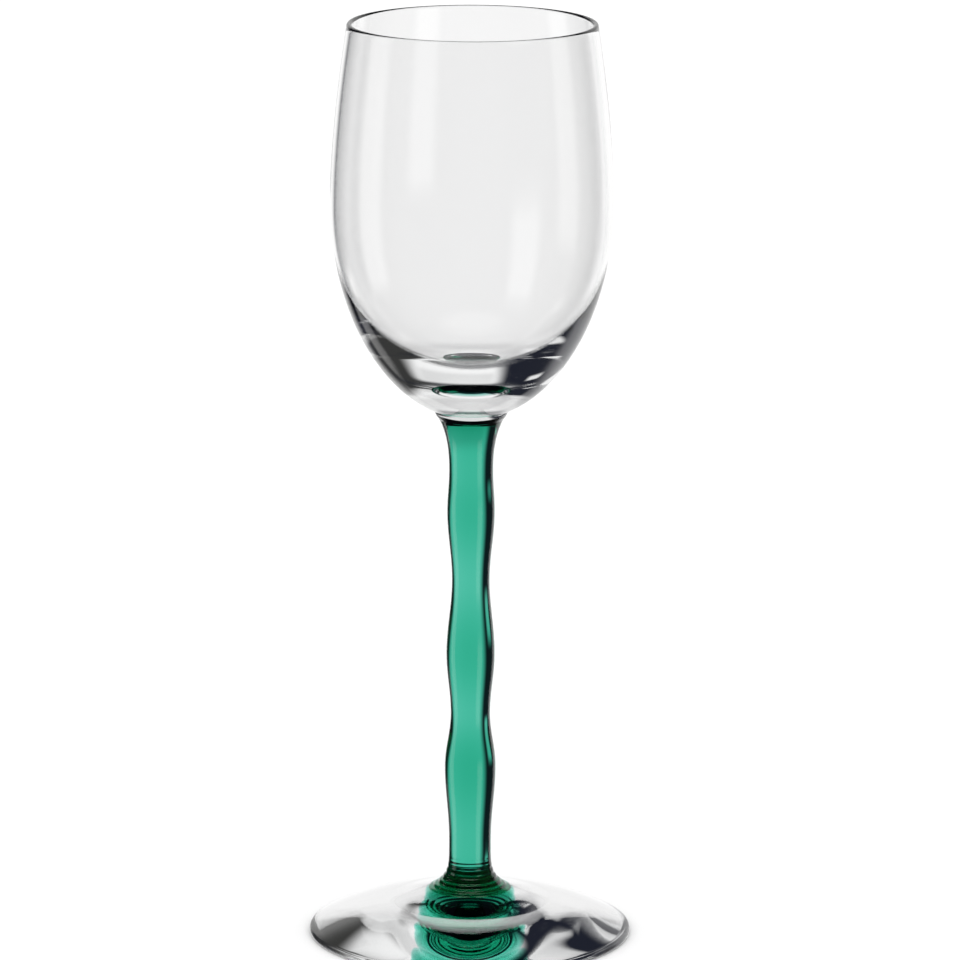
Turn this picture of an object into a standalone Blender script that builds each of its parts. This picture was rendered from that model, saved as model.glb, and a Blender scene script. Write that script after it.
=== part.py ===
"""White wine glass: a clear bowl, a clear collar, a wavy green stem and a clear domed foot.

Four pieces of hot-worked glass stand in line on one axis. Units are metres, +Z is up, and the
origin is the middle of the plane that the foot rests on.
"""

import math

import bmesh
import bpy

# Foot: a solid dome that sweeps up to the stem in a hill, with a hollow underneath
FOOT_RADIUS = 0.0360
FOOT_HEIGHT = 0.0102
DOME_HEIGHT = 0.0090
DOME_POWER = 2.5
HILL_REACH = 0.0090
FOOT_EDGE = 0.0016
EDGE_LEAN = 66.0
HOLLOW_RADIUS = 0.0340
HOLLOW_DEPTH = 0.0044

# Stem: the plug sunk in the foot, two flared ends, and necks and bulges, from the foot upwards
PLUG_RADIUS = 0.00925
PLUG_DEPTH = 0.0050
PLUG_ROUND = 0.0014
LOWER_FLARE = 0.0113
LOWER_FLARE_POWER = 5.0
LOWEST_NECK_RADIUS = 0.0047
LOWEST_SWELL = 0.0167
LOWEST_BULGE_RADIUS = 0.0057
LOWEST_DIP = 0.0123
SECOND_NECK_RADIUS = 0.0044
MIDDLE_SWELL = 0.0137
MIDDLE_BULGE_RADIUS = 0.0054
MIDDLE_DIP = 0.0169
THIRD_NECK_RADIUS = 0.0042
UPPER_SWELL = 0.0157
UPPER_BULGE_RADIUS = 0.0053
UPPER_DIP = 0.0089
TOP_NECK_RADIUS = 0.0049
UPPER_FLARE = 0.0117
UPPER_FLARE_POWER = 2.6
STEM_TOP_RADIUS = 0.0071

# Collar: the clear button of glass between the stem and the bowl
COLLAR_HEIGHT = 0.0016
COLLAR_RADIUS = 0.0081

# Bowl: half an ellipse below the belly and a gentle taper to the lip above it
BELLY_RISE = 0.0474
BELLY_RADIUS = 0.0313
RIM_RISE = 0.0390
RIM_RADIUS = 0.0276
TAPER_POWER = 1.6
WALL = 0.0012
LIP = 0.0012
BASE_THICKNESS = 0.0078
INSIDE_FULLNESS = 2.35

# The pieces are fused on the real glass, and this hairline keeps the solids apart
FUSE_GAP = 0.0003

# How finely the outlines and the turns are divided
BOWL_TURNS = 48
FOOT_TURNS = 48
STEM_TURNS = 32
WAVE_STEPS = 6
CURVE_STEPS = 12
FLARE_STEPS = 12
FLARE_CROWDING = 1.5
DOME_STEPS = 18
DOME_CROWDING = 1.5
ROUND_STEPS = 6

# Where each piece's underside stands above the table
STEM_LENGTH = (PLUG_DEPTH + LOWER_FLARE + LOWEST_SWELL + LOWEST_DIP + MIDDLE_SWELL + MIDDLE_DIP
               + UPPER_SWELL + UPPER_DIP + UPPER_FLARE)
STEM_BASE = FOOT_HEIGHT - PLUG_DEPTH
COLLAR_BASE = STEM_BASE + STEM_LENGTH + FUSE_GAP
BOWL_BASE = COLLAR_BASE + COLLAR_HEIGHT + FUSE_GAP

CLEAR_GLASS = (0.95, 0.96, 0.96, 1.0)
GREEN_GLASS = (0.06, 0.42, 0.29, 1.0)
GLASS_ROUGHNESS = 0.03
GLASS_IOR = 1.52


def fractions(steps):
    """Even fractions from 0 to 1, both ends included."""
    return [step / steps for step in range(steps + 1)]


def arc(centre, radius, start, end, steps):
    """Points of a circular arc in the outline's plane, angles in degrees from +X."""
    points = []
    for share in fractions(steps):
        angle = math.radians(start + (end - start) * share)
        points.append((centre[0] + radius * math.cos(angle), centre[1] + radius * math.sin(angle)))
    return points


def plug_outline(radius, rounding, base, top):
    """The round-bottomed plug of the stem, from its edge down to the middle of its underside."""
    bottom = arc((radius - rounding, base + rounding), rounding, 0.0, -90.0, ROUND_STEPS)
    return [(radius, top)] + bottom + [(0.0, base)]


def dome_height(radius, end_radius, end_height):
    """Height of the dome's top at a radius, as far as the rounded edge."""
    return DOME_HEIGHT - (DOME_HEIGHT - end_height) * (radius / end_radius) ** DOME_POWER


def foot_outline():
    """Socket of the plug, hill, convex dome, rounded edge, flat resting ring and hollow."""
    edge_round = FOOT_EDGE / 2
    edge = arc((FOOT_RADIUS - edge_round, edge_round), edge_round, EDGE_LEAN, -90.0, ROUND_STEPS)
    end_radius, end_height = edge[0]
    socket_radius = PLUG_RADIUS + FUSE_GAP
    socket = plug_outline(socket_radius, PLUG_ROUND + FUSE_GAP, STEM_BASE - FUSE_GAP, FOOT_HEIGHT)
    hill_height = FOOT_HEIGHT - dome_height(socket_radius, end_radius, end_height)
    outline = socket[::-1]
    for share in fractions(DOME_STEPS)[1:-1]:
        run = (end_radius - socket_radius) * share ** DOME_CROWDING
        hill = hill_height * max(1 - run / HILL_REACH, 0.0) ** 2
        radius = socket_radius + run
        outline.append((radius, dome_height(radius, end_radius, end_height) + hill))
    outline += edge
    for share in reversed(fractions(CURVE_STEPS)):
        outline.append((HOLLOW_RADIUS * share, HOLLOW_DEPTH * (1 - share ** 2)))
    return outline


def upper_flare_outline():
    """The trumpet under the collar, from the stem's top face down to the top neck."""
    top_neck = STEM_LENGTH - UPPER_FLARE
    outline = []
    for share in reversed(fractions(WAVE_STEPS)):
        radius = TOP_NECK_RADIUS + (STEM_TOP_RADIUS - TOP_NECK_RADIUS) * share ** UPPER_FLARE_POWER
        outline.append((radius, top_neck + UPPER_FLARE * share))
    return outline


def wave_outline():
    """The necks and bulges, each joined to the next by half a cosine wave, downwards."""
    waves = (
        (UPPER_DIP, TOP_NECK_RADIUS, UPPER_BULGE_RADIUS),
        (UPPER_SWELL, UPPER_BULGE_RADIUS, THIRD_NECK_RADIUS),
        (MIDDLE_DIP, THIRD_NECK_RADIUS, MIDDLE_BULGE_RADIUS),
        (MIDDLE_SWELL, MIDDLE_BULGE_RADIUS, SECOND_NECK_RADIUS),
        (LOWEST_DIP, SECOND_NECK_RADIUS, LOWEST_BULGE_RADIUS),
        (LOWEST_SWELL, LOWEST_BULGE_RADIUS, LOWEST_NECK_RADIUS),
    )
    outline = []
    height = STEM_LENGTH - UPPER_FLARE
    for span, radius_above, radius_below in waves:
        for share in fractions(WAVE_STEPS)[1:]:
            blend = (1 - math.cos(math.pi * share)) / 2
            radius = radius_above + (radius_below - radius_above) * blend
            outline.append((radius, height - span * share))
        height -= span
    return outline


def lower_flare_outline():
    """The trumpet on the foot, from the lowest neck down to the edge of the plug."""
    outline = []
    for share in fractions(FLARE_STEPS)[1:]:
        height = LOWER_FLARE * (1 - share) ** FLARE_CROWDING
        opening = (1 - height / LOWER_FLARE) ** LOWER_FLARE_POWER
        radius = LOWEST_NECK_RADIUS + (PLUG_RADIUS - LOWEST_NECK_RADIUS) * opening
        outline.append((radius, PLUG_DEPTH + height))
    return outline


def stem_outline():
    """Top face, upper trumpet, waves, lower trumpet and plug."""
    outline = [(0.0, STEM_LENGTH)]
    outline += upper_flare_outline() + wave_outline() + lower_flare_outline()
    return outline + plug_outline(PLUG_RADIUS, PLUG_ROUND, 0.0, PLUG_DEPTH)[1:]


def collar_outline():
    """A button that carries the trumpet's line on and rounds over under the bowl."""
    outline = [(0.0, COLLAR_HEIGHT)]
    for share in reversed(fractions(ROUND_STEPS)):
        swell = math.sin(math.pi / 2 * share)
        radius = STEM_TOP_RADIUS + (COLLAR_RADIUS - STEM_TOP_RADIUS) * swell
        outline.append((radius, COLLAR_HEIGHT * share))
    outline.append((0.0, 0.0))
    return outline


def taper_radius(share):
    """Outer radius of the upper bowl, from the belly (0) to the rim (1)."""
    return BELLY_RADIUS - (BELLY_RADIUS - RIM_RADIUS) * share ** TAPER_POWER


def inside_outline():
    """The bowl's inside, from the middle of its bottom up to the lip."""
    lip_round = LIP / 2
    inner_belly = BELLY_RADIUS - WALL
    inner_depth = BELLY_RISE - BASE_THICKNESS
    outline = []
    for share in fractions(CURVE_STEPS):
        angle = math.pi / 2 * share
        radius = inner_belly * math.sin(angle) ** (2 / INSIDE_FULLNESS)
        depth = inner_depth * math.cos(angle) ** (2 / INSIDE_FULLNESS)
        outline.append((radius, BELLY_RISE - depth))
    for share in fractions(ROUND_STEPS)[1:]:
        thickness = WALL + (LIP - WALL) * share
        height = BELLY_RISE + (RIM_RISE - lip_round) * share
        outline.append((taper_radius(share) - thickness, height))
    return outline


def outside_outline():
    """The lip, the taper and the half ellipse, down to the flat joint with the collar."""
    lip_round = LIP / 2
    rim_height = BELLY_RISE + RIM_RISE
    outline = arc((RIM_RADIUS - lip_round, rim_height - lip_round), lip_round, 180.0, 0.0, ROUND_STEPS)
    outline = outline[1:]
    for share in reversed(fractions(ROUND_STEPS)[1:-1]):
        outline.append((taper_radius(share), BELLY_RISE + (RIM_RISE - lip_round) * share))
    last_angle = math.acos(COLLAR_RADIUS / BELLY_RADIUS)
    ellipse_depth = BELLY_RISE / math.sin(last_angle)
    for share in fractions(CURVE_STEPS):
        angle = last_angle * share
        outline.append((BELLY_RADIUS * math.cos(angle), BELLY_RISE - ellipse_depth * math.sin(angle)))
    outline.append((0.0, 0.0))
    return outline


def glass_material(name, colour):
    """Polished glass of one colour."""
    material = bpy.data.materials.new(name)
    material.use_nodes = True
    shader = material.node_tree.nodes["Principled BSDF"]
    shader.inputs["Base Color"].default_value = colour
    shader.inputs["Roughness"].default_value = GLASS_ROUGHNESS
    shader.inputs["Metallic"].default_value = 0.0
    shader.inputs["IOR"].default_value = GLASS_IOR
    shader.inputs["Transmission Weight"].default_value = 1.0
    return material


def turned_piece(name, outline, turns, base, colour):
    """One closed piece of glass: an outline turned about its own axis, standing at its base."""
    mesh = bpy.data.meshes.new(name)
    shape = bmesh.new()
    corners = [shape.verts.new((radius, 0.0, height)) for radius, height in outline]
    for upper, lower in zip(corners, corners[1:]):
        shape.edges.new((upper, lower))
    shape.to_mesh(mesh)
    shape.free()

    piece = bpy.data.objects.new(name, mesh)
    piece.location = (0.0, 0.0, base)
    mesh.materials.append(glass_material(name + "_glass", colour))

    turn = piece.modifiers.new("turn", 'SCREW')
    turn.axis = 'Z'
    turn.angle = math.tau
    turn.screw_offset = 0.0
    turn.steps = turns
    turn.render_steps = turns
    turn.use_merge_vertices = True
    turn.merge_threshold = 0.00001
    turn.use_smooth_shade = True
    return piece


def main():
    """Clear the file and stand the four pieces on one axis."""
    for old in list(bpy.data.objects):
        bpy.data.objects.remove(old, do_unlink=True)

    glass = bpy.data.collections.new("wine_glass")
    bpy.context.scene.collection.children.link(glass)
    axis = bpy.data.objects.new("glass_axis", None)
    glass.objects.link(axis)

    pieces = (
        turned_piece("foot", foot_outline(), FOOT_TURNS, 0.0, CLEAR_GLASS),
        turned_piece("stem", stem_outline(), STEM_TURNS, STEM_BASE, GREEN_GLASS),
        turned_piece("collar", collar_outline(), STEM_TURNS, COLLAR_BASE, CLEAR_GLASS),
        turned_piece("bowl", inside_outline() + outside_outline(), BOWL_TURNS, BOWL_BASE, CLEAR_GLASS),
    )
    for piece in pieces:
        glass.objects.link(piece)
        piece.parent = axis


main()
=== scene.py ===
"""White wine glass: a clear bowl, a clear collar, a wavy green stem and a clear domed foot.

The four pieces of glass are turned about one upright axis and fused end to end. Units are metres,
+Z is up, and the origin is the middle of the plane that the foot rests on.
"""

import math
from collections import namedtuple

import bmesh
import bpy
from bpy.props import FloatProperty, FloatVectorProperty, PointerProperty
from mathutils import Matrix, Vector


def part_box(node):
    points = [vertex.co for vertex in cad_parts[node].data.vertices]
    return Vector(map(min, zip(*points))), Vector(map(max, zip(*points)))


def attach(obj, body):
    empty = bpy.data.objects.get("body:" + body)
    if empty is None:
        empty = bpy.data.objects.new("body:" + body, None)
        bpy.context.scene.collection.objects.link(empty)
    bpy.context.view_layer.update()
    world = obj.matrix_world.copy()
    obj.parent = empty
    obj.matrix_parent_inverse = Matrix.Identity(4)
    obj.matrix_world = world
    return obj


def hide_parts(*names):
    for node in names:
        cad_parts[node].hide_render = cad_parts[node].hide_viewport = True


bl_info = {
    "name": "White Wine Glass",
    "version": (1, 0, 0),
    "blender": (4, 5, 0),
    "location": "3D View > Sidebar > Glassware",
    "description": "Turns a white wine glass with a wavy green stem and sets a studio for it",
    "category": "Object",
}

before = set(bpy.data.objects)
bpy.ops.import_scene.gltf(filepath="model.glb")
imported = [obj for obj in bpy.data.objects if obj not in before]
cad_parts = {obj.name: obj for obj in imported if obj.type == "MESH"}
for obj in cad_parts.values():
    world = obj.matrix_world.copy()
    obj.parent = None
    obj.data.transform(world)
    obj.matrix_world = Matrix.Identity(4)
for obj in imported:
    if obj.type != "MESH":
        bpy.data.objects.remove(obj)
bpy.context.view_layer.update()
FOOT_LOW, FOOT_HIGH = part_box("foot")
STEM_LOW, STEM_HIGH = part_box("stem")
COLLAR_LOW, COLLAR_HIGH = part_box("collar")
BOWL_LOW, BOWL_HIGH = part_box("bowl")

# Fused pieces keep this hairline between their joint faces
HAIRLINE = 0.00002
MERGE_DISTANCE = 0.000001

# How finely the outlines and the turns are divided
BOWL_TURNS = 192
FOOT_TURNS = 192
STEM_TURNS = 144
COLLAR_TURNS = 144
CURVE_STEPS = 64
TAPER_STEPS = 32
WAVE_STEPS = 28
FLARE_STEPS = 110
FLARE_CROWDING = 2.0
DOME_STEPS = 110
DOME_CROWDING = 1.5
ROUND_STEPS = 14
FLOOR_SIDES = 64

# The surface of the glass: ripples (how many per metre and how high) that are drawn out upwards,
# and smears from handling that take a little of the shine where their noise is in the given range
Ripples = namedtuple("Ripples", "scale height")
CLEAR_RIPPLES = Ripples(55.0, 0.00002)
GREEN_RIPPLES = Ripples(160.0, 0.00003)
RIPPLE_STRETCH = (1.0, 1.0, 0.35)
RIPPLE_DETAIL = 1.0
SMEAR_SCALE = 90.0
SMEAR_DETAIL = 4.0
SMEAR_RANGE = (0.45, 0.8)
SMEAR_ROUGHNESS = 0.012

# How fast the tool rings fade out at both ends: 1 is slow, less is faster
RING_FADE = 0.5

# How often light may pass or bounce in the glass before it is lost
MOST_PASSES = 32
MOST_REFLECTIONS = 16

# Every piece has its glass first and the glass of its fused joints second
JOINT_SLOT = 1

# Soft panels of light in a dim room. Azimuth runs from straight behind the glass (0) to the right
# (90), and elevation from straight down (-90) to straight up (90), all in degrees.
Panel = namedtuple("Panel", "azimuth half_width elevation half_height softness colour")
PANELS = {
    "dim on the right": Panel(80, 40, 0, 60, 15, (0.045, 0.045, 0.042)),
    "overhead": Panel(0, 190, 84, 16, 6, (0.9, 0.9, 0.9)),
    "backdrop": Panel(13, 39, -8, 34, 8, (1.0, 1.0, 1.0)),
    "horizon of the backdrop": Panel(13, 34, 11, 12, 6, (0.80, 0.80, 0.80)),
    "table behind": Panel(0, 32, -48, 8, 4, (0.9, 0.9, 0.9)),
    "behind on the left": Panel(-45, 7, -30, 11, 4, (0.88, 0.88, 0.88)),
    "high on the left": Panel(-60, 6, 24, 5, 3, (1.0, 1.0, 1.0)),
    "left": Panel(-88, 12, -12, 18, 5, (0.90, 0.90, 0.90)),
    "in front on the right": Panel(135, 12, -22, 16, 5, (0.90, 0.90, 0.90)),
}


def length(name, default, description):
    """A property that holds a length in metres."""
    return FloatProperty(name=name, description=description, default=default, precision=5,
                         min=0.0, subtype='DISTANCE', unit='LENGTH')


def number(name, default, description):
    """A property that holds a plain number."""
    return FloatProperty(name=name, description=description, default=default, precision=3)


def angle(name, default, description):
    """A property that holds an angle, given in degrees."""
    return FloatProperty(name=name, description=description, default=math.radians(default),
                         subtype='ANGLE', unit='ROTATION')


def colour(name, default, description):
    """A property that holds a colour."""
    return FloatVectorProperty(name=name, description=description, default=default, size=3,
                               min=0.0, max=1.0, subtype='COLOR')


class FootSizes(bpy.types.PropertyGroup):
    """Sizes of the clear domed foot."""
    radius: length("Radius", FOOT_HIGH.x, "Half the width of the foot")
    dome_height: length("Dome Height", 0.0090, "Height of the dome, carried on to the axis")
    dome_power: number("Dome Power", 2.5, "How late the dome falls towards its edge")
    hill_reach: length("Hill Reach", 0.0090, "How far out the hill beside the stem runs")
    edge: length("Edge", 0.0016, "Thickness of the rounded edge")
    edge_lean: angle("Edge Lean", 66.0, "Where the dome meets the rounded edge, up from level")
    hollow_radius: length("Hollow Radius", 0.0340, "Radius of the hollow underneath")
    hollow_depth: length("Hollow Depth", 0.0044, "Depth of the hollow underneath")


class StemSizes(bpy.types.PropertyGroup):
    """Sizes of the green stem: its plug, its trumpets, and its necks and bulges upwards."""
    plug_radius: length("Plug Radius", 0.00925, "Radius of the plug that is sunk in the foot")
    plug_round: length("Plug Round", 0.0014, "Rounding of the plug's lower edge")
    lower_flare: length("Lower Flare", 0.0113, "Height of the trumpet on the foot")
    lower_flare_power: number("Lower Flare Power", 5.0, "How late the trumpet on the foot opens")
    lowest_neck: length("Lowest Neck", 0.0047, "Radius of the neck above the flare")
    lowest_swell: length("Lowest Swell", 0.0167, "Height from the lowest neck to its bulge")
    lowest_bulge: length("Lowest Bulge", 0.0057, "Radius of the lowest bulge")
    lowest_dip: length("Lowest Dip", 0.0123, "Height from the lowest bulge to the next neck")
    second_neck: length("Second Neck", 0.0044, "Radius of the second neck")
    middle_swell: length("Middle Swell", 0.0137, "Height from the second neck to its bulge")
    middle_bulge: length("Middle Bulge", 0.0054, "Radius of the middle bulge")
    middle_dip: length("Middle Dip", 0.0169, "Height from the middle bulge to the next neck")
    third_neck: length("Third Neck", 0.0042, "Radius of the third neck")
    upper_swell: length("Upper Swell", 0.0157, "Height from the third neck to its bulge")
    upper_bulge: length("Upper Bulge", 0.0053, "Radius of the upper bulge")
    upper_dip: length("Upper Dip", 0.0089, "Height from the upper bulge to the top neck")
    top_neck: length("Top Neck", 0.0049, "Radius of the neck under the collar")
    top_radius: length("Top Radius", 0.0071, "Radius of the stem's top face")
    upper_flare_power: number("Upper Flare Power", 2.6, "How late the trumpet under the collar opens")
    ring_pitch: length("Ring Pitch", 0.0014, "Distance between the tool rings on the lower trumpet")
    ring_depth: length("Ring Depth", 0.00009, "How far a tool ring stands out of the trumpet")
    ring_reach: length("Ring Reach", 0.0075, "How far up the trumpet the tool rings run")


class CollarSizes(bpy.types.PropertyGroup):
    """Sizes of the clear collar between the stem and the bowl."""
    radius: length("Radius", COLLAR_HIGH.x, "Radius of the collar under the bowl")


class BowlSizes(bpy.types.PropertyGroup):
    """Sizes of the clear bowl."""
    belly_radius: length("Belly Radius", BOWL_HIGH.x, "Radius at the widest place")
    belly_rise: length("Belly Rise", 0.0474, "Height of the widest place above the bowl's base")
    rim_radius: length("Rim Radius", 0.0276, "Radius of the mouth, outside")
    taper_power: number("Taper Power", 1.6, "How late the bowl draws in towards the mouth")
    wall: length("Wall", 0.0012, "Thickness of the wall")
    lip: length("Lip", 0.0012, "Thickness of the rounded lip")
    base_thickness: length("Base Thickness", 0.0078, "Depth of solid glass under the wine")
    inside_fullness: number("Inside Fullness", 2.35, "2 is an ellipse inside, more is squarer")


class GlassFinish(bpy.types.PropertyGroup):
    """How the two glasses look."""
    bend: number("Index of Refraction", 1.52, "How strongly the glass bends light")
    green_colour: colour("Green", (0.09, 0.79, 0.67), "Light that the green glass lets through")
    green_density: number("Green Density", 330.0, "How fast the green deepens, per metre")
    clear_colour: colour("Clear", (0.93, 0.97, 0.96), "Light that the clear glass lets through")
    clear_density: number("Clear Density", 2.0, "How fast the clear glass tints, per metre")


class StageSettings(bpy.types.PropertyGroup):
    """The camera and the floor."""
    camera_side: length("Camera Side", 0.00197, "How far the camera stands to the right")
    camera_distance: length("Camera Distance", 1.40375, "How far the camera stands in front")
    camera_height: length("Camera Height", 0.41689, "How high the camera stands")
    camera_pitch: angle("Camera Pitch", 12.5743, "How far the camera looks down")
    camera_roll: angle("Camera Roll", 0.2, "How far the camera leans to the left")
    camera_lens: number("Lens", 243.29, "Focal length in millimetres")
    floor_radius: length("Floor Radius", 3.0, "Half the width of the floor")
    room_colour: colour("Room", (0.014, 0.016, 0.026), "Light of the dim room around the panels")
    floor_light: number("Floor Light", 1.2, "Strength of the even light on the floor")
    floor_colour: colour("Floor", (0.92, 0.92, 0.92), "Colour of the pale floor")


class WineGlassSettings(bpy.types.PropertyGroup):
    """All that a user may change."""
    foot: PointerProperty(type=FootSizes)
    stem: PointerProperty(type=StemSizes)
    collar: PointerProperty(type=CollarSizes)
    bowl: PointerProperty(type=BowlSizes)
    finish: PointerProperty(type=GlassFinish)
    stage: PointerProperty(type=StageSettings)


class Field:
    """A socket of a node tree, so that shader maths reads as a Python expression."""

    def __init__(self, tree, socket=None):
        self.tree = tree
        self.socket = socket

    def node(self, kind, settings, inputs, output=0):
        """Add a node: its settings first, then the values or links of its sockets."""
        new = self.tree.nodes.new(kind)
        for key, value in settings.items():
            setattr(new, key, value)
        for key, value in inputs.items():
            if isinstance(value, Field):
                self.tree.links.new(value.socket, new.inputs[key])
            else:
                new.inputs[key].default_value = value
        return Field(self.tree, new.outputs[output] if new.outputs else None)

    def math(self, operation, *values):
        """A Math node on this tree."""
        return self.node("ShaderNodeMath", {"operation": operation}, dict(enumerate(values)))

    def __sub__(self, other):
        return self.math('SUBTRACT', self, other)

    def __rsub__(self, other):
        return self.math('SUBTRACT', other, self)

    def __mul__(self, other):
        return self.math('MULTIPLY', self, other)

    def __rmul__(self, other):
        return self.math('MULTIPLY', other, self)

    def __abs__(self):
        return self.math('ABSOLUTE', self)

    def ramp(self, start, end):
        """0 at start, 1 at end, and smooth between them."""
        return self.node("ShaderNodeMapRange", {"interpolation_type": 'SMOOTHSTEP'},
                         {"Value": self, "From Min": start, "From Max": end})

    def mixed(self, first, second):
        """The first colour where this is 0 and the second where it is 1."""
        return self.node("ShaderNodeMix", {"data_type": 'RGBA'}, {0: self, 6: first, 7: second}, 2)


def cleared(tree):
    """A node tree emptied and ready to be filled."""
    tree.nodes.clear()
    return Field(tree)


def glass_material(name, finish, tint, density, ripples):
    """Fire-polished glass: faint ripples, a trace of handling on the shine and a tint by depth."""
    material = bpy.data.materials.new(name)
    material.use_nodes = True
    graph = cleared(material.node_tree)
    place = graph.node("ShaderNodeTexCoord", {}, {}, "Object")
    drawn_out = graph.node("ShaderNodeMapping", {}, {"Vector": place, "Scale": RIPPLE_STRETCH})
    waves = graph.node("ShaderNodeTexNoise", {},
                       {"Vector": drawn_out, "Scale": ripples.scale, "Detail": RIPPLE_DETAIL})
    surface = graph.node("ShaderNodeBump", {},
                         {"Strength": 1.0, "Distance": ripples.height, "Height": waves})
    smears = graph.node("ShaderNodeTexNoise", {},
                        {"Vector": place, "Scale": SMEAR_SCALE, "Detail": SMEAR_DETAIL})
    shader = graph.node("ShaderNodeBsdfPrincipled", {"distribution": 'GGX'}, {
        "Base Color": (1.0, 1.0, 1.0, 1.0),
        "Roughness": smears.ramp(*SMEAR_RANGE) * SMEAR_ROUGHNESS,
        "IOR": finish.bend,
        "Transmission Weight": 1.0,
        "Normal": surface,
    })
    depth = graph.node("ShaderNodeVolumeAbsorption", {}, {"Color": (*tint, 1.0), "Density": density})
    graph.node("ShaderNodeOutputMaterial", {}, {"Surface": shader, "Volume": depth})
    return material


def joint_material(name, tint, density):
    """A fused joint: nothing to see, and the tint by depth ends here."""
    material = bpy.data.materials.new(name)
    material.use_nodes = True
    graph = cleared(material.node_tree)
    shader = graph.node("ShaderNodeBsdfPrincipled", {}, {"Alpha": 0.0})
    depth = graph.node("ShaderNodeVolumeAbsorption", {}, {"Color": (*tint, 1.0), "Density": density})
    graph.node("ShaderNodeOutputMaterial", {}, {"Surface": shader, "Volume": depth})
    return material


def clear_materials(piece, finish):
    """The clear glass of one piece and its fused joints."""
    tint = finish.clear_colour
    density = finish.clear_density
    return (glass_material(piece + "_clear_glass", finish, tint, density, CLEAR_RIPPLES),
            joint_material(piece + "_fused_joint", tint, density))


def green_materials(piece, finish):
    """The green glass of one piece and its fused joints."""
    tint = finish.green_colour
    density = finish.green_density
    return (glass_material(piece + "_green_glass", finish, tint, density, GREEN_RIPPLES),
            joint_material(piece + "_fused_joint", tint, density))


def fractions(steps):
    """Even fractions from 0 to 1, both ends included."""
    return [step / steps for step in range(steps + 1)]


def arc(centre, radius, start, end, steps):
    """Points of a circular arc in the outline's plane, angles from the level outwards."""
    points = []
    for share in fractions(steps):
        turn = start + (end - start) * share
        points.append((centre[0] + radius * math.cos(turn), centre[1] + radius * math.sin(turn)))
    return points


def plug_outline(radius, rounding, base, top):
    """The round-bottomed plug of the stem, from its edge down to the middle of its underside."""
    bottom = arc((radius - rounding, base + rounding), rounding, 0.0, -math.pi / 2, ROUND_STEPS)
    return [(radius, top)] + bottom + [(0.0, base)]


def foot_outline(foot, socket, top):
    """Socket of the plug, hill, convex dome, rounded edge, level resting ring and hollow."""
    edge_round = foot.edge / 2
    edge = arc((foot.radius - edge_round, edge_round), edge_round, foot.edge_lean, -math.pi / 2,
               ROUND_STEPS)
    end_radius, end_height = edge[0]
    socket_radius = socket[0][0]

    def dome(radius):
        fall = (radius / end_radius) ** foot.dome_power
        return foot.dome_height - (foot.dome_height - end_height) * fall

    hill_height = top - dome(socket_radius)
    outline = socket[::-1]
    for share in fractions(DOME_STEPS)[1:-1]:
        run = (end_radius - socket_radius) * share ** DOME_CROWDING
        hill = hill_height * max(1 - run / foot.hill_reach, 0.0) ** 2
        outline.append((socket_radius + run, dome(socket_radius + run) + hill))
    outline += edge
    for share in reversed(fractions(CURVE_STEPS)):
        outline.append((foot.hollow_radius * share, foot.hollow_depth * (1 - share ** 2)))
    return outline


def lower_flare_outline(stem, base):
    """The trumpet on the foot, from the lowest neck down to the edge of the plug."""
    outline = []
    for share in fractions(FLARE_STEPS)[1:]:
        height = stem.lower_flare * (1 - share) ** FLARE_CROWDING
        opening = (1 - height / stem.lower_flare) ** stem.lower_flare_power
        radius = stem.lowest_neck + (stem.plug_radius - stem.lowest_neck) * opening
        outline.append((radius, base + height))
    return outline


def tool_rings(outline, pitch, depth, reach):
    """The outline with shallow rings pressed into its last stretch, square to its run."""
    ringed = []
    travel = 0.0
    for here, below in zip(reversed(outline), reversed(outline[:-1])):
        run = math.dist(here, below)
        across = ((below[1] - here[1]) / run, (here[0] - below[0]) / run)
        fade = math.sin(math.pi * min(travel / reach, 1.0)) ** RING_FADE
        lift = depth * fade * math.sin(math.tau * travel / pitch)
        ringed.append((here[0] + across[0] * lift, here[1] + across[1] * lift))
        travel += run
    ringed.append(outline[0])
    return ringed[::-1]


def stem_outline(stem, base, edge, top):
    """Top face, upper trumpet, necks and bulges, ringed lower trumpet and plug."""
    waves = (
        (stem.upper_dip, stem.top_neck, stem.upper_bulge),
        (stem.upper_swell, stem.upper_bulge, stem.third_neck),
        (stem.middle_dip, stem.third_neck, stem.middle_bulge),
        (stem.middle_swell, stem.middle_bulge, stem.second_neck),
        (stem.lowest_dip, stem.second_neck, stem.lowest_bulge),
        (stem.lowest_swell, stem.lowest_bulge, stem.lowest_neck),
    )
    height = edge + stem.lower_flare + sum(span for span, _, _ in waves)
    trumpet = top - height
    outline = [(0.0, top)]
    for share in reversed(fractions(WAVE_STEPS)):
        opening = (stem.top_radius - stem.top_neck) * share ** stem.upper_flare_power
        outline.append((stem.top_neck + opening, height + trumpet * share))
    for span, radius_above, radius_below in waves:
        for share in fractions(WAVE_STEPS)[1:]:
            blend = (1 - math.cos(math.pi * share)) / 2
            radius = radius_above + (radius_below - radius_above) * blend
            outline.append((radius, height - span * share))
        height -= span
    flare = lower_flare_outline(stem, edge)
    outline += tool_rings(flare, stem.ring_pitch, stem.ring_depth, stem.ring_reach)
    return outline + plug_outline(stem.plug_radius, stem.plug_round, base, edge)[1:]


def collar_outline(collar, stem_radius, base, top):
    """A button that carries the trumpet's line on and rounds over under the bowl."""
    outline = [(0.0, top)]
    for share in reversed(fractions(ROUND_STEPS)):
        swell = math.sin(math.pi / 2 * share)
        radius = stem_radius + (collar.radius - stem_radius) * swell
        outline.append((radius, base + (top - base) * share))
    outline.append((0.0, base))
    return outline


def taper_radius(bowl, share):
    """Outer radius of the upper bowl, from the belly (0) to the rim (1)."""
    return bowl.belly_radius - (bowl.belly_radius - bowl.rim_radius) * share ** bowl.taper_power


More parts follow.
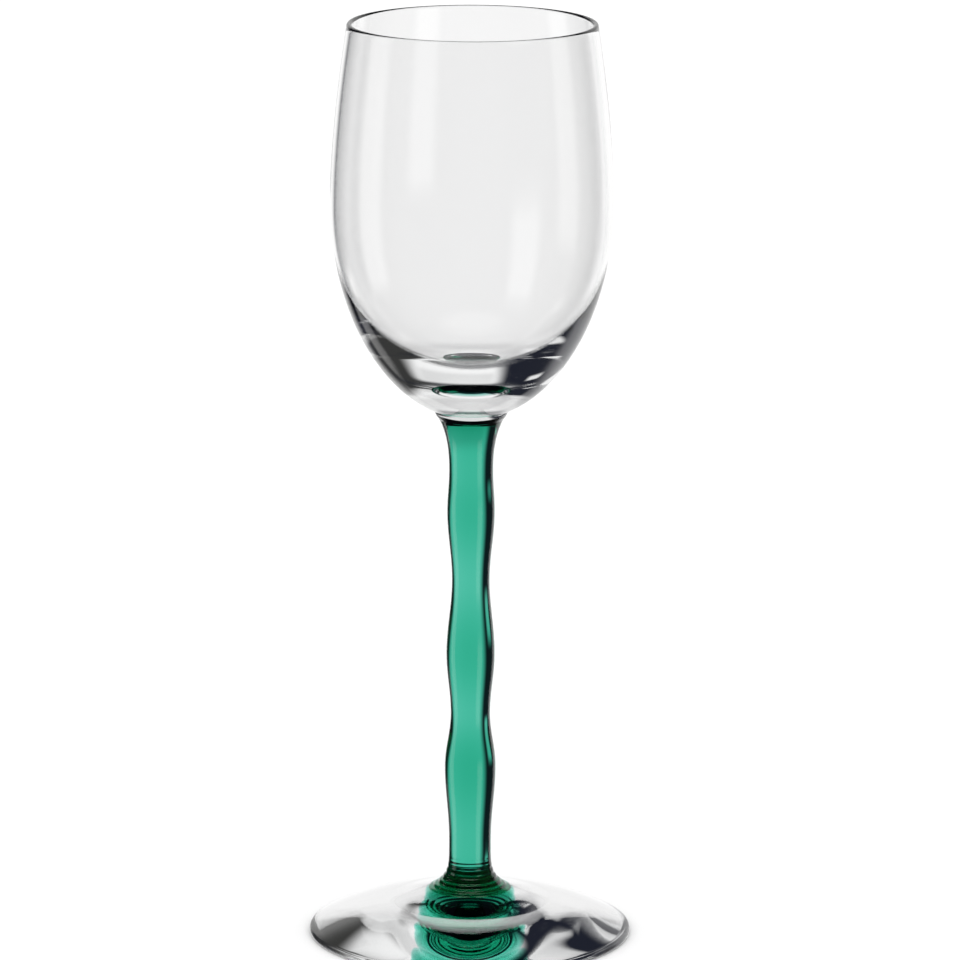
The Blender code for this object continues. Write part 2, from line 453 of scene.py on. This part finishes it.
def bowl_outline(bowl, joint_radius, base, rim):
    """Inside from the middle up, round the lip, and down the outside to the fused joint."""
    belly = base + bowl.belly_rise
    lip_round = bowl.lip / 2
    taper = rim - lip_round - belly
    inner_radius = bowl.belly_radius - bowl.wall
    inner_depth = bowl.belly_rise - bowl.base_thickness
    power = 2 / bowl.inside_fullness
    outline = []
    for share in fractions(CURVE_STEPS):
        turn = math.pi / 2 * share
        outline.append((inner_radius * math.sin(turn) ** power,
                        belly - inner_depth * max(math.cos(turn), 0.0) ** power))
    for share in fractions(TAPER_STEPS)[1:]:
        thickness = bowl.wall + (bowl.lip - bowl.wall) * share
        outline.append((taper_radius(bowl, share) - thickness, belly + taper * share))
    outline += arc((bowl.rim_radius - lip_round, rim - lip_round), lip_round, math.pi, 0.0,
                   ROUND_STEPS)[1:]
    for share in reversed(fractions(TAPER_STEPS)[1:-1]):
        outline.append((taper_radius(bowl, share), belly + taper * share))
    last_turn = math.acos(joint_radius / bowl.belly_radius)
    outer_depth = bowl.belly_rise / math.sin(last_turn)
    for share in fractions(CURVE_STEPS):
        turn = last_turn * share
        outline.append((bowl.belly_radius * math.cos(turn), belly - outer_depth * math.sin(turn)))
    outline.append((0.0, base))
    return outline


def mark_joints(shape, joints):
    """Put the faces of each joint (lowest, highest, radius) in the joint slot, with a sharp edge."""
    for face in shape.faces:
        face.smooth = True
        for lowest, highest, radius in joints:
            if all(lowest - MERGE_DISTANCE < corner.co.z < highest + MERGE_DISTANCE
                   and corner.co.xy.length < radius + MERGE_DISTANCE for corner in face.verts):
                face.material_index = JOINT_SLOT
    for edge in shape.edges:
        slots = {face.material_index for face in edge.link_faces}
        edge.smooth = len(slots) == 1


def turned_piece(context, name, outline, turns, joints, materials):
    """One closed piece: an outline turned once about the upright axis."""
    shape = bmesh.new()
    corners = [shape.verts.new((radius, 0.0, height)) for radius, height in outline]
    edges = [shape.edges.new(pair) for pair in zip(corners, corners[1:])]
    bmesh.ops.spin(shape, geom=corners + edges, cent=(0.0, 0.0, 0.0), axis=(0.0, 0.0, 1.0),
                   dvec=(0.0, 0.0, 0.0), angle=math.tau, steps=turns, use_merge=True)
    bmesh.ops.remove_doubles(shape, verts=shape.verts[:], dist=MERGE_DISTANCE)
    bmesh.ops.recalc_face_normals(shape, faces=shape.faces[:])
    if any(not edge.is_manifold for edge in shape.edges):
        raise RuntimeError(name + " isn't closed")
    mark_joints(shape, joints)
    mesh = bpy.data.meshes.new(name)
    shape.to_mesh(mesh)
    shape.free()
    for material in materials:
        mesh.materials.append(material)
    piece = bpy.data.objects.new(name, mesh)
    context.scene.collection.objects.link(piece)
    return piece


class WINEGLASS_OT_foot(bpy.types.Operator):
    """Press the clear domed foot"""
    bl_idname = "wine_glass.foot"
    bl_label = "Foot"

    def execute(self, context):
        settings = context.scene.wine_glass
        top = FOOT_HIGH.z
        socket_floor = STEM_LOW.z - HAIRLINE
        socket_radius = settings.stem.plug_radius + HAIRLINE
        socket = plug_outline(socket_radius, settings.stem.plug_round + HAIRLINE, socket_floor, top)
        outline = foot_outline(settings.foot, socket, top)
        piece = turned_piece(context, "clear_foot", outline, FOOT_TURNS,
                             [(socket_floor, top, socket_radius)],
                             clear_materials("foot", settings.finish))
        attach(piece, "root")
        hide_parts("foot")
        return {'FINISHED'}


class WINEGLASS_OT_stem(bpy.types.Operator):
    """Draw the wavy green stem"""
    bl_idname = "wine_glass.stem"
    bl_label = "Stem"

    def execute(self, context):
        settings = context.scene.wine_glass
        stem = settings.stem
        base = STEM_LOW.z
        edge = FOOT_HIGH.z
        top = COLLAR_LOW.z - HAIRLINE
        joints = [(base, edge, stem.plug_radius), (top, top, stem.top_radius)]
        piece = turned_piece(context, "green_stem", stem_outline(stem, base, edge, top), STEM_TURNS,
                             joints, green_materials("stem", settings.finish))
        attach(piece, "root")
        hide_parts("stem")
        return {'FINISHED'}


class WINEGLASS_OT_collar(bpy.types.Operator):
    """Set the clear collar on the stem"""
    bl_idname = "wine_glass.collar"
    bl_label = "Collar"

    def execute(self, context):
        settings = context.scene.wine_glass
        top = BOWL_LOW.z - HAIRLINE
        base = COLLAR_LOW.z
        stem_radius = settings.stem.top_radius
        joints = [(base, base, stem_radius), (top, top, settings.collar.radius)]
        outline = collar_outline(settings.collar, stem_radius, base, top)
        piece = turned_piece(context, "clear_collar", outline, COLLAR_TURNS, joints,
                             clear_materials("collar", settings.finish))
        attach(piece, "root")
        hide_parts("collar")
        return {'FINISHED'}


class WINEGLASS_OT_bowl(bpy.types.Operator):
    """Blow the clear bowl"""
    bl_idname = "wine_glass.bowl"
    bl_label = "Bowl"

    def execute(self, context):
        settings = context.scene.wine_glass
        joint = settings.collar.radius
        base = BOWL_LOW.z
        outline = bowl_outline(settings.bowl, joint, base, BOWL_HIGH.z)
        piece = turned_piece(context, "clear_bowl", outline, BOWL_TURNS, [(base, base, joint)],
                             clear_materials("bowl", settings.finish))
        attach(piece, "root")
        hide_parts("bowl")
        return {'FINISHED'}


def studio_world(stage):
    """White for the camera and the floor, and a dim room with soft panels for the glass."""
    world = bpy.data.worlds.new("soft_studio")
    world.use_nodes = True
    world.cycles.sampling_method = 'NONE'
    graph = cleared(world.node_tree)
    direction = graph.node("ShaderNodeTexCoord", {}, {}, "Generated")
    right, back, up = (graph.node("ShaderNodeSeparateXYZ", {}, {"Vector": direction}, axis)
                       for axis in ("X", "Y", "Z"))
    azimuth = graph.math('ARCTAN2', right, back)
    elevation = graph.math('ARCSINE', up)
    light = (*stage.room_colour, 1.0)
    for panel in PANELS.values():
        soft = math.radians(panel.softness)
        turned = abs(graph.math('WRAP', azimuth - math.radians(panel.azimuth), math.pi, -math.pi))
        raised = abs(elevation - math.radians(panel.elevation))
        half_width = math.radians(panel.half_width)
        half_height = math.radians(panel.half_height)
        across = turned.ramp(half_width + soft, half_width - soft)
        upright = raised.ramp(half_height + soft, half_height - soft)
        light = (across * upright).mixed(light, (*panel.colour, 1.0))
    path = {name: graph.node("ShaderNodeLightPath", {}, {}, name)
            for name in ("Is Camera Ray", "Is Diffuse Ray")}
    floor_light = (stage.floor_light,) * 3
    light = path["Is Diffuse Ray"].mixed(light, (*floor_light, 1.0))
    light = path["Is Camera Ray"].mixed(light, (1.0, 1.0, 1.0, 1.0))
    shader = graph.node("ShaderNodeBackground", {}, {"Color": light, "Strength": 1.0})
    graph.node("ShaderNodeOutputWorld", {}, {"Surface": shader})
    return world


def pale_floor(context, stage):
    """A plain round floor under the glass."""
    material = bpy.data.materials.new("pale_floor")
    material.use_nodes = True
    graph = cleared(material.node_tree)
    shader = graph.node("ShaderNodeBsdfDiffuse", {}, {"Color": (*stage.floor_colour, 1.0)})
    graph.node("ShaderNodeOutputMaterial", {}, {"Surface": shader})
    shape = bmesh.new()
    bmesh.ops.create_circle(shape, cap_ends=True, segments=FLOOR_SIDES, radius=stage.floor_radius)
    mesh = bpy.data.meshes.new("floor")
    shape.to_mesh(mesh)
    shape.free()
    mesh.materials.append(material)
    floor = bpy.data.objects.new("floor", mesh)
    context.scene.collection.objects.link(floor)
    floor.visible_transmission = False
    floor.visible_glossy = False
    return floor


class WINEGLASS_OT_stage(bpy.types.Operator):
    """Set the floor, the soft light and the camera"""
    bl_idname = "wine_glass.stage"
    bl_label = "Stage"

    def execute(self, context):
        scene = context.scene
        stage = scene.wine_glass.stage
        pale_floor(context, stage)
        scene.world = studio_world(stage)
        camera = bpy.data.objects.new("camera", bpy.data.cameras.new("camera"))
        camera.data.lens = stage.camera_lens
        camera.location = (stage.camera_side, -stage.camera_distance, stage.camera_height)
        camera.rotation_mode = 'ZYX'
        camera.rotation_euler = (math.pi / 2 - stage.camera_pitch, 0.0, stage.camera_roll)
        scene.collection.objects.link(camera)
        scene.camera = camera
        scene.view_settings.view_transform = 'Standard'
        scene.cycles.max_bounces = MOST_PASSES
        scene.cycles.transmission_bounces = MOST_PASSES
        scene.cycles.glossy_bounces = MOST_REFLECTIONS
        scene.cycles.transparent_max_bounces = MOST_PASSES
        return {'FINISHED'}


class WINEGLASS_PT_pieces(bpy.types.Panel):
    """The pieces of the glass and its stage"""
    bl_label = "White Wine Glass"
    bl_idname = "WINEGLASS_PT_pieces"
    bl_space_type = 'VIEW_3D'
    bl_region_type = 'UI'
    bl_category = "Glassware"

    def draw(self, context):
        settings = context.scene.wine_glass
        for part, operator in PIECES.items():
            box = self.layout.box()
            box.operator(operator.bl_idname)
            group = getattr(settings, part)
            for key in group.__annotations__:
                box.prop(group, key)
        finish = self.layout.box()
        for key in settings.finish.__annotations__:
            finish.prop(settings.finish, key)


PIECES = {
    "stage": WINEGLASS_OT_stage,
    "foot": WINEGLASS_OT_foot,
    "stem": WINEGLASS_OT_stem,
    "collar": WINEGLASS_OT_collar,
    "bowl": WINEGLASS_OT_bowl,
}
CLASSES = (FootSizes, StemSizes, CollarSizes, BowlSizes, GlassFinish, StageSettings,
           WineGlassSettings, *PIECES.values(), WINEGLASS_PT_pieces)


def register():
    for cls in CLASSES:
        bpy.utils.register_class(cls)
    bpy.types.Scene.wine_glass = PointerProperty(type=WineGlassSettings)


def unregister():
    del bpy.types.Scene.wine_glass
    for cls in reversed(CLASSES):
        bpy.utils.unregister_class(cls)


def main():
    """Build the stage and the four pieces."""
    register()
    bpy.ops.wine_glass.stage()
    bpy.ops.wine_glass.foot()
    bpy.ops.wine_glass.stem()
    bpy.ops.wine_glass.collar()
    bpy.ops.wine_glass.bowl()


if __name__ == "__main__":
    main()
